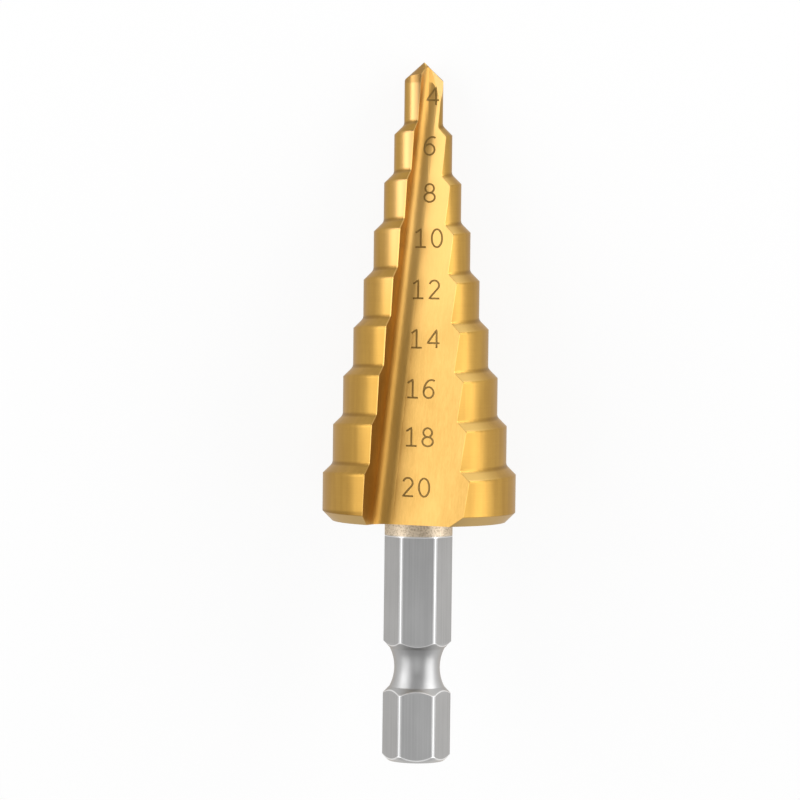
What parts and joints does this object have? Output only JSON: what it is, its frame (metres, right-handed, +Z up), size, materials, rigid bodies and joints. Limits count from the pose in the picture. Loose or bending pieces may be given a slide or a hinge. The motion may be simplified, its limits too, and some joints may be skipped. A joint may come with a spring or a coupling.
{
  "type": "step drill",
  "caption": "Step drill: a fluted, stepped cone that drills and widens holes in sheet, ground from one bar with its hexagon power shank.",
  "frame": {"origin": "on the table under the middle of the drill's box, as it lies at rest", "axes": "+Y from the shank towards the point, +Z up out of the table, +X to the right of the upper flute"},
  "size_m": [0.02, 0.0718, 0.0177],
  "materials": {
    "coated_steel": "ground tool steel, the head coated golden with titanium nitride, the shank left bare"
  },
  "bodies": {
    "root": {"step_drill": "coated_steel"}
  },
  "joints": []
}
